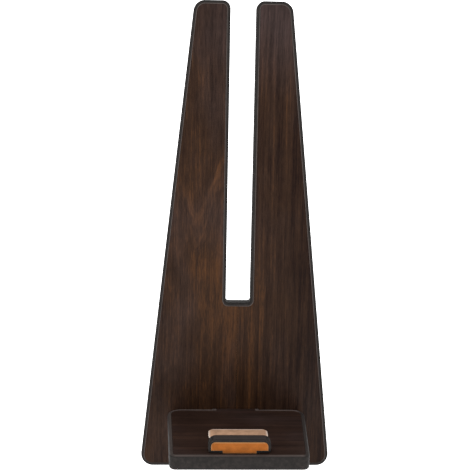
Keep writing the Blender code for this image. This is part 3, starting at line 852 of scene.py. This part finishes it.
class STAND_OT_rest_pad(bpy.types.Operator):
    """Cut the leather pad that the instrument's foot rests on"""
    bl_idname = "stand.rest_pad"
    bl_label = "Rest pad"

    def execute(self, context):
        sizes, shelf = context.scene.stand_pad, context.scene.stand_shelf
        low = shelf.top_height + HIDDEN_GAP
        top, half = low + sizes.thickness, sizes.width / 2
        front, back = -sizes.setback - sizes.depth, -sizes.setback
        pad = start_block("rest_pad_leather", (-half, front, low), (half, back, top))
        round_corners(pad, lambda e: spans(e, UP, sizes.thickness), sizes.radius, 10)
        round_rims(pad, UP, (top,), sizes.upper_rim, 4)
        round_rims(pad, UP, (low,), sizes.lower_rim, 2)
        choose(pad, 'FACE', lambda f: lies_at(f, UP, top))
        bpy.ops.mesh.inset(thickness=sizes.press, depth=0.0)
        bpy.ops.mesh.inset(thickness=sizes.slope, depth=LEATHER_SWELL)

        def cut_share(vert):
            """All pale on the cut wall, and fading inwards from the rim on the face."""
            if vert.co.z < top - LEATHER_SWELL:
                return 1.0
            rim = min(half - abs(vert.co.x), vert.co.y - front, back - vert.co.y)
            return max(0.0, 1.0 - rim / sizes.cut_fade)

        mark(pad, "cut_edge", cut_share)
        finish_piece(pad, "undyed_leather", "shelf", "rest_pad")
        return {'FINISHED'}


class STAND_OT_feet(bpy.types.Operator):
    """Cut the three rubber feet, with their corners and lower rims eased"""
    bl_idname = "stand.feet"
    bl_label = "Rubber feet"

    def execute(self, context):
        sizes = context.scene.stand_feet
        for name, node, body in (("foot_left", "board_foot_left", "board"),
                                 ("foot_right", "board_foot_right", "board"),
                                 ("foot_tail", "tail_foot", "shelf")):
            low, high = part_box(node)
            foot = start_block(name, low, high)
            thick = high.z - low.z
            round_corners(foot, lambda e: spans(e, UP, thick), sizes.radius, 8)
            round_rims(foot, UP, (low.z,), sizes.rim, 3)
            finish_piece(foot, "neoprene_rubber", body, node, leans=False)
        return {'FINISHED'}


class STAND_OT_veneers(bpy.types.Operator):
    """Give each veneer its own wood figure"""
    bl_idname = "stand.veneers"
    bl_label = "Veneers"

    def execute(self, context):
        # start: where the leaf lies in the log, across and along it; sway: how far its grain strays
        # stripes, lines, fibres, flames, patches: the strength of each
        # light, fall: tone, and the painted shade that takes tone off outwards, at the four LEAF_STATIONS
        # cool: how cool the wood is below the tips, and at them, where it is a painted reflection
        # cathedral: the chevrons' centre, foot, left and right slope, and height
        # veins: the place, half width and strength of each
        leaves = {
            "board_front_veneer_left": {
                "on": "board", "start": (0.31, 0.10), "sway": 0.012, "stripes": 0.20,
                "lines": 0.40, "fibres": 0.30, "flames": 0.26,
                # Its lightness is low at the foot: painted shade beside the shelf
                "light": (0.465, 0.535, 0.475, 0.465), "edge_shade": (0.06, 0.16, 0.0, 0.0),
                "patches": 0.5, "cool_and_tip_sheen": (0.0, 0.25),
                "cathedral": (-0.0505, 0.255, 3.0, 2.3, 0.105)},
            "board_front_veneer_right": {
                "on": "board", "start": (1.27, 0.73), "sway": 0.004, "stripes": 0.38,
                "lines": 0.44, "fibres": 0.28, "flames": 0.20,
                "light": (0.455, 0.43, 0.405, 0.49), "edge_shade": (0.12, 0.20, 0.10, 0.04),
                "patches": 0.3, "cool_and_tip_sheen": (0.0, 1.0),
                "veins": ((0.014, 0.005, 0.06), (0.0285, 0.005, 0.10))},
            "board_rear_veneer_left": {
                "on": "board", "start": (2.64, 0.21), "sway": 0.006, "stripes": 0.70,
                "lines": 0.50, "fibres": 0.24, "flames": 0.20,
                "light": (0.46, 0.48, 0.48, 0.48), "edge_shade": (0.04, 0.10, 0.05, 0.0),
                "patches": 0.4, "cool_and_tip_sheen": (0.0, 0.4)},
            "board_rear_veneer_right": {
                "on": "board", "start": (3.18, 0.58), "sway": 0.010, "stripes": 0.25,
                "lines": 0.40, "fibres": 0.28, "flames": 0.30,
                "light": (0.47, 0.51, 0.50, 0.48), "edge_shade": (0.04, 0.10, 0.05, 0.0),
                "patches": 0.6, "cool_and_tip_sheen": (0.0, 0.5),
                "cathedral": (0.045, 0.205, 2.4, 2.0, 0.100)},
            "shelf_top_veneer": {
                "on": "shelf", "start": (4.52, 0.62), "sway": 0.010, "stripes": 0.38,
                "lines": 0.15, "fibres": 0.12, "flames": 0.22,
                "light": (0.475,) * 4, "edge_shade": (0.0,) * 4,
                "patches": 0.6, "cool_and_tip_sheen": (0.45, 0.45)},
            "shelf_under_veneer": {
                "on": "shelf", "start": (5.11, 0.80), "sway": 0.006, "stripes": 0.50,
                "lines": 0.30, "fibres": 0.20, "flames": 0.20,
                "light": (0.48,) * 4, "edge_shade": (0.0,) * 4,
                "patches": 0.5, "cool_and_tip_sheen": (0.1, 0.1)},
        }
        for node, leaf in leaves.items():
            veneer = frame["nodes"][node]
            veneer.data.materials.clear()
            veneer.data.materials.append(
                lacquered_veneer("rosewood_" + node.replace("board_", ""), leaf))
        return {'FINISHED'}


class STAND_OT_finishes(bpy.types.Operator):
    """Mix the paint, leathers and rubber"""
    bl_idname = "stand.finishes"
    bl_label = "Paint, leather and rubber"

    def execute(self, context):
        tones = context.scene.stand_finish
        satin_paint()
        smooth_leather("waxed_cognac_leather", tones.cognac, tones.cognac_cut, roughness=0.50)
        smooth_leather("undyed_leather", tones.natural, tones.natural_cut, roughness=0.62)
        foot_rubber()
        return {'FINISHED'}


class STAND_OT_studio(bpy.types.Operator):
    """Set the pale floor, the soft lights and the camera"""
    bl_idname = "stand.studio"
    bl_label = "Studio"

    def execute(self, context):
        scene, settings = context.scene, context.scene.stand_studio
        bpy.ops.object.select_all(action='DESELECT')
        bpy.ops.mesh.primitive_plane_add(size=settings.table_width, location=(0.0, 0.0, -TABLE_DROP))
        floor = context.object
        floor.name = "floor"
        floor.data.materials.append(light_table())
        room = bpy.data.worlds.new("pale_room")
        room.use_nodes = True
        room.node_tree.nodes["Background"].inputs["Color"].default_value = (1.0, 1.0, 1.0, 1.0)
        room.node_tree.nodes["Background"].inputs["Strength"].default_value = settings.room_light
        scene.world = room
        bpy.ops.object.light_add(type='SUN')
        light = context.object
        light.name = "key_light"
        light.data.energy = settings.key_light
        light.data.angle = settings.key_spread
        light.rotation_euler = settings.key_direction.to_track_quat('-Z', 'Y').to_euler()
        bpy.ops.object.camera_add(location=settings.camera_place)
        camera = context.object
        camera.name = "camera"
        right, up = Vector(settings.camera_right).normalized(), Vector(settings.camera_up)
        back = right.cross(up).normalized()
        up = back.cross(right)
        camera.rotation_euler = Matrix((right, up, back)).transposed().to_euler()
        camera.data.lens = settings.lens
        camera.data.sensor_width = SENSOR_WIDTH
        camera.data.clip_start = NEAREST
        scene.camera = camera
        scene.view_settings.view_transform = 'Standard'
        return {'FINISHED'}


OPERATORS = (STAND_OT_studio, STAND_OT_finishes, STAND_OT_board, STAND_OT_shelf, STAND_OT_stop,
             STAND_OT_facings, STAND_OT_rest_pad, STAND_OT_feet, STAND_OT_veneers)


class STAND_PT_panel(bpy.types.Panel):
    """The stand's sizes, colours and building steps"""
    bl_idname = "STAND_PT_panel"
    bl_label = "Wind Instrument Stand"
    bl_space_type = 'VIEW_3D'
    bl_region_type = 'UI'
    bl_category = "Stand"

    def draw(self, context):
        for operator in OPERATORS:
            self.layout.operator(operator.bl_idname)
        for attribute, group in PROPERTIES.items():
            box = self.layout.box()
            box.label(text=group.__name__)
            for name in group.__annotations__:
                box.prop(getattr(context.scene, attribute), name)


CLASSES = (*PROPERTIES.values(), *OPERATORS, STAND_PT_panel)


def register():
    for item in CLASSES:
        bpy.utils.register_class(item)
    for attribute, group in PROPERTIES.items():
        setattr(bpy.types.Scene, attribute, PointerProperty(type=group))


def unregister():
    for attribute in PROPERTIES:
        delattr(bpy.types.Scene, attribute)
    for item in reversed(CLASSES):
        bpy.utils.unregister_class(item)


def main():
    register()
    for operator in OPERATORS:
        group, name = operator.bl_idname.split(".")
        getattr(getattr(bpy.ops, group), name)()


if __name__ == "__main__":
    main()
